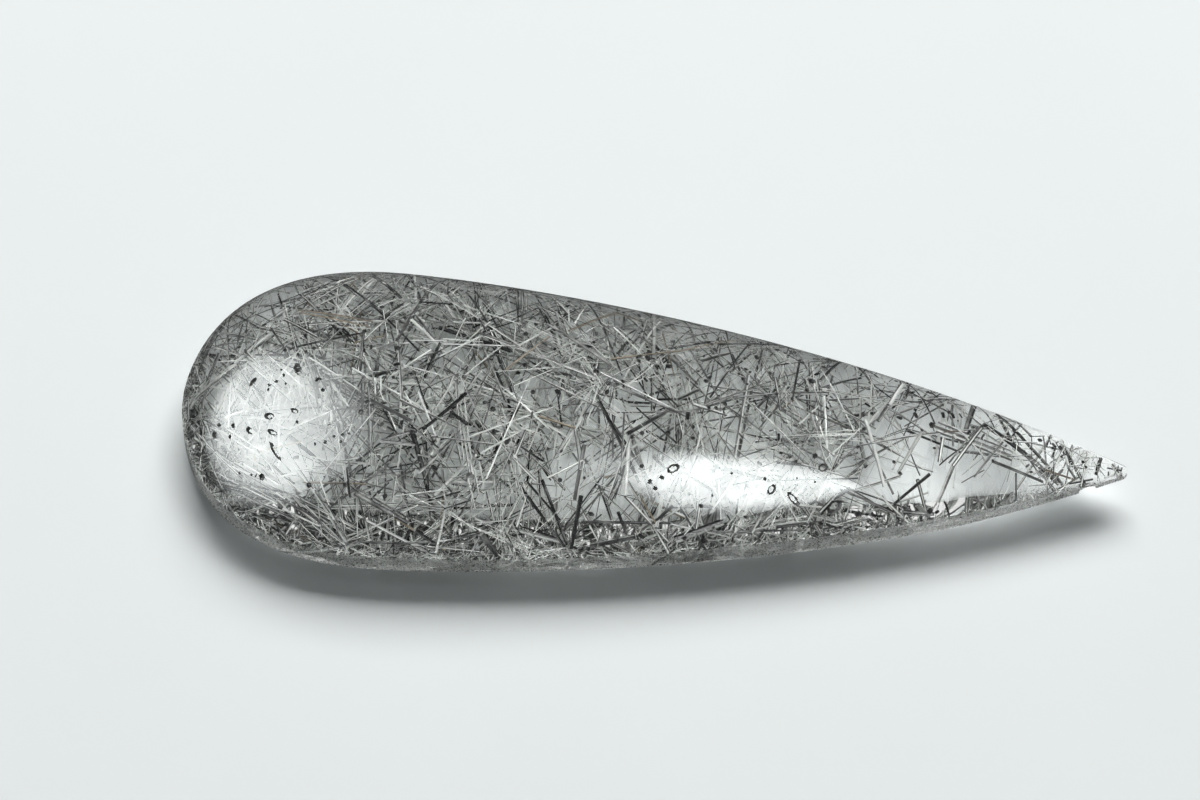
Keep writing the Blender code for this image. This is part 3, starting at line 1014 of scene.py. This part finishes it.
def needle_material(name, shaded_color, lit_color, roughness, metallic, noise_scale):
    material, nodes, links, shader, places = new_material(name)
    # Each face's stored value picks between a shaded and a lit copy of one colour: painted light and
    # shade of the grooves.
    sheen_tone = nodes.new("ShaderNodeAttribute")
    sheen_tone.attribute_name = "sheen_tone"
    noise = add_noise(places, noise_scale, 3.0)
    sheen_patches = add_range(noise, 0.3, 0.7, -SHEEN_SHIFT, SHEEN_SHIFT)
    mixed = nodes.new("ShaderNodeClamp")
    links.new(add_math("ADD", sheen_tone.outputs["Fac"], sheen_patches), mixed.inputs["Value"])
    color = add_color_mix(mixed.outputs["Result"], shaded_color, lit_color)
    links.new(color, shader.inputs["Base Color"])
    shader.inputs["Metallic"].default_value = metallic
    grain = add_noise(places, GRAIN_WAVES, 2.0)
    shine = add_range(grain, 0.3, 0.7, roughness - SMOOTHER, roughness + ROUGHER)
    links.new(shine, shader.inputs["Roughness"])
    return material


# The piece, its needles, its material and that material's colour painted on shaded faces, colour
# painted on lit faces, roughness, metallic share and noise in waves per mm.
FINISHES = (
    ("dark_needles", dark, "dark_tourmaline", (0.02, 0.02, 0.02), (0.50, 0.51, 0.49), 0.22, 0.1, 0.8),
    ("pale_needles", pale, "silvery_film", (0.08, 0.08, 0.078), (0.79, 0.80, 0.78), 0.36, 0.15, 1.2),
    ("brown_needles", brown, "brown_needle", (0.10, 0.08, 0.06), (0.34, 0.29, 0.22), 0.35, 0.0, 0.7),
    ("haze_needles", haze, "grey_fibre", (0.14, 0.145, 0.135), (0.92, 0.93, 0.90), 0.36, 0.15, 0.8),
)
print("needle finishes:", len(FINISHES))

# %% [markdown]
# The polishing wheel cut every needle flush with the quartz. A needle's middle line was kept under
# the surface, but a thick one can still stand out with its edge. Moving those few points back is
# simpler than one more Boolean on thousands of needles.

# %% Finished needles
FLUSH_GAP = 0.005
polish_tree = BVHTree.FromObject(stone, bpy.context.evaluated_depsgraph_get())


def cut_flush(data):
    """Moves the points that stand out of the polish to just under it and returns their number."""
    moved = 0
    for vert in data.vertices:
        near, normal, _, _ = polish_tree.find_nearest(vert.co)
        if (vert.co - near).dot(normal) > 0:
            vert.co = near - normal * FLUSH_GAP * MM
            moved += 1
    return moved


for name, meshes, *finish in FINISHES:
    piece = object_from(joined(meshes), name)
    print(name, len(piece.data.polygons), "faces, points cut flush:", cut_flush(piece.data))
    piece.data.materials.append(needle_material(*finish))
    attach(piece, "root")

# %% [markdown]
# The stone lies on a sheet of white paper, which takes its shadow. A flat disc is enough, since the
# sheet's edge is out of sight. It lies a hair below the stone, so that the two faces don't meet.

# %% Paper
PAPER_GAP = 0.02
PAPER_RADIUS_M = 1.5
PAPER_DARK = (0.83, 0.865, 0.865)
PAPER_LIGHT = (0.86, 0.895, 0.895)
paper_mesh = bmesh.new()
bmesh.ops.create_circle(
    paper_mesh,
    cap_ends=True,
    segments=96,
    radius=PAPER_RADIUS_M,
    matrix=Matrix.Translation((0, 0, -PAPER_GAP * MM)),
)
paper = object_from(paper_mesh, "paper")
paper_material, _, links, shader, places = new_material("white_paper")
pulp = add_noise(places, 0.05, 4.0)
links.new(add_color_mix(pulp, PAPER_DARK, PAPER_LIGHT), shader.inputs["Base Color"])
shader.inputs["Roughness"].default_value = 0.9
shader.inputs["Specular IOR Level"].default_value = 0.2
paper.data.materials.append(paper_material)
paper.visible_glossy = False
print("paper across in m:", 2 * PAPER_RADIUS_M)

# %% [markdown]
# A polished dome mirrors its lights, so their places can be worked out from the photograph. At a
# pixel the dome's slope is known, and the sight line mirrored there points at what is seen. A light
# set by such directions shows its bright patch where the photograph has it.

# %% Where the dome mirrors a pixel


def dome_hit(px, py):
    hit, normal, _, _ = stone_tree.ray_cast(camera_place * MM, sight_line(px, py))
    return hit, normal


def mirror_way(px, py):
    """The direction whose light the polish sends to the camera at a pixel."""
    line = sight_line(px, py)
    normal = dome_hit(px, py)[1]
    return (line - 2 * line.dot(normal) * normal).normalized()


STONE_HEART = Vector((0, 0, 0.004))
print("the stone's middle mirrors the way:", [round(v, 2) for v in mirror_way(*STONE_MIDDLE_PX)])

# %% Making a light
LIGHT_COLOR = (0.995, 1.0, 1.0)
PANEL_COLOR = (0.95, 1.0, 1.0)
UPWARD = Vector((0, 0, 1))


def area_light(name, way, distance, sizes, radiance, target, upward=UPWARD, shape="RECTANGLE"):
    """A flat light that faces the target. Its second size lies along upward."""
    data = bpy.data.lights.new(name, "AREA")
    data.shape = shape
    data.size, data.size_y = sizes
    area = sizes[0] * sizes[1] * (1.0 if shape == "RECTANGLE" else math.pi / 4)
    data.energy = radiance * math.pi * area
    data.color = LIGHT_COLOR
    lamp = bpy.data.objects.new(name, data)
    bpy.context.scene.collection.objects.link(lamp)
    side = upward.cross(way).normalized()
    facing = Matrix((side, way.cross(side), way)).transposed().to_4x4()
    lamp.matrix_world = Matrix.Translation(target + way * distance) @ facing
    return lamp


def soft_edge(lamp, full_until, almond=False):
    """Fades a panel's light towards its rim, so that its mirror image has no hard border.

    A round panel fades with the distance from its middle. An almond has its points at the two ends
    of the panel's first size. Faint noise makes the panel uneven, like cloth over a lamp.
    """
    data = lamp.data
    data.use_nodes = True
    nodes, links = data.node_tree.nodes, data.node_tree.links
    spot = nodes.new("ShaderNodeNewGeometry")
    split = nodes.new("ShaderNodeSeparateXYZ")
    links.new(spot.outputs["Parametric"], split.inputs["Vector"])
    reach = []
    for axis, power in (("X", 3.0 if almond else 2.0), ("Y", 1.0 if almond else 2.0)):
        from_middle = add_math("SUBTRACT", split.outputs[axis], 0.5)
        doubled = add_math("MULTIPLY", from_middle, 2.0)
        sized = add_math("ABSOLUTE", doubled, 0.0)
        reach.append(add_math("POWER", sized, power))
    away = add_math("ADD", reach[0], reach[1])
    fade = add_range(away, full_until, 1.0, 1.0, 0.0)
    fade.node.interpolation_type = "SMOOTHERSTEP"
    cloth = nodes.new("ShaderNodeTexNoise")
    cloth.inputs["Scale"].default_value = 4.0
    links.new(spot.outputs["Parametric"], cloth.inputs["Vector"])
    blotches = add_range(cloth.outputs["Fac"], 0.35, 0.65, 0.85, 1.12)
    strength = add_math("MULTIPLY", fade, blotches)
    links.new(strength, nodes["Emission"].inputs["Strength"])


def mirror_panel(name, west, east, north, south, distance, radiance, full_until, width=None):
    """A panel whose mirror image in the dome reaches to four pixels.

    A round panel takes its width from the west and east pixels. An almond is given its width in m.
    """
    left, right, upper, lower = (mirror_way(*spot) for spot in (west, east, north, south))
    almond = width is not None
    if not almond:
        width = 2 * distance * math.tan(left.angle(right) / 2)
    length = 2 * distance * math.tan(upper.angle(lower) / 2)
    middle_px = ((west[0] + east[0]) / 2, (north[1] + south[1]) / 2)
    middle = dome_hit(*middle_px)[0]
    way = mirror_way(*middle_px) if almond else (left + right + upper + lower).normalized()
    shape = "RECTANGLE" if almond else "ELLIPSE"
    lamp = area_light(name, way, distance, (width, length), radiance, middle, upper - lower, shape)
    lamp.data.color = PANEL_COLOR
    soft_edge(lamp, full_until, almond)
    lamp.visible_diffuse = False
    lamp.visible_transmission = False
    print(name, "sizes in m:", round(width, 2), round(length, 2))


# %% [markdown]
# One light for everything would be true to a real room, but that room isn't known. So each light
# here has one task and is hidden from the rest. A broad light from behind throws the short shadow
# towards the front. Three fills are seen only through the quartz and brighten the needles. Three
# panels are seen only in the polish: the round patch on the bulb, the long one near the tail, and
# its fading end.

# %% Shadow light and fills
# Each fill has its direction, its distance in m, its sizes in m and its radiance.
BACK_WAY = Vector((0.05, 0.61, 0.79)).normalized()
FILLS = (
    ("overhead_fill", (0.0, -0.15, 1.0), 0.7, (1.2, 1.2), 2.0),
    ("glint_light", (0.4, -0.05, 0.9), 0.8, (0.5, 0.5), 8.0),
    ("north_fill", (0.0, 0.85, 0.5), 0.8, (1.6, 0.8), 0.85),
)
NORTH = Vector((0, 1, 0))
back_light = area_light("back_light", BACK_WAY, 0.8, (0.7, 0.42), 8.7, STONE_HEART)
back_light.visible_glossy = False
back_light.visible_transmission = False
for name, way, distance, sizes, radiance in FILLS:
    straight = Vector(way).normalized()
    lamp = area_light(name, straight, distance, sizes, radiance, STONE_HEART, NORTH)
    lamp.visible_glossy = False
    lamp.visible_diffuse = False
print("fills:", [row[0] for row in FILLS])

# %% Panels in the polish
# The pixels that the image reaches in the west, east, north and south, then the distance in m, the
# radiance, where the fade starts and the width in m of an almond.
PANELS = (
    ("left_panel", (206, 432), (480, 445), (292, 336), (292, 512), 0.4, 15.0, -0.4, None),
    ("right_panel", (644, 485), (842, 485), (743, 450), (743, 518), 0.8, 15.5, 0.3, 0.168),
    ("right_fade", (570, 470), (750, 470), (660, 443), (660, 500), 0.8, 2.5, 0.0, 0.17),
)
for row in PANELS:
    mirror_panel(*row)

# %% [markdown]
# The world adds a faint even light. Light is bent many times on its way through clear quartz full
# of needles, so it is followed for more turns than usual, or the inside would go dark.

# %% World and light paths
world = bpy.data.worlds.new("soft_room")
bpy.context.scene.world = world
world.use_nodes = True
room = world.node_tree.nodes["Background"]
room.inputs["Color"].default_value = (0.97, 1.0, 1.0, 1)
room.inputs["Strength"].default_value = 0.07

scene = bpy.context.scene
scene.view_settings.view_transform = "Standard"
scene.cycles.max_bounces = 24
scene.cycles.transmission_bounces = 20
scene.cycles.glossy_bounces = 6
scene.cycles.diffuse_bounces = 4
scene.cycles.caustics_reflective = True
scene.cycles.caustics_refractive = True
scene.cycles.use_denoising = True
print("light is followed for", scene.cycles.max_bounces, "turns")
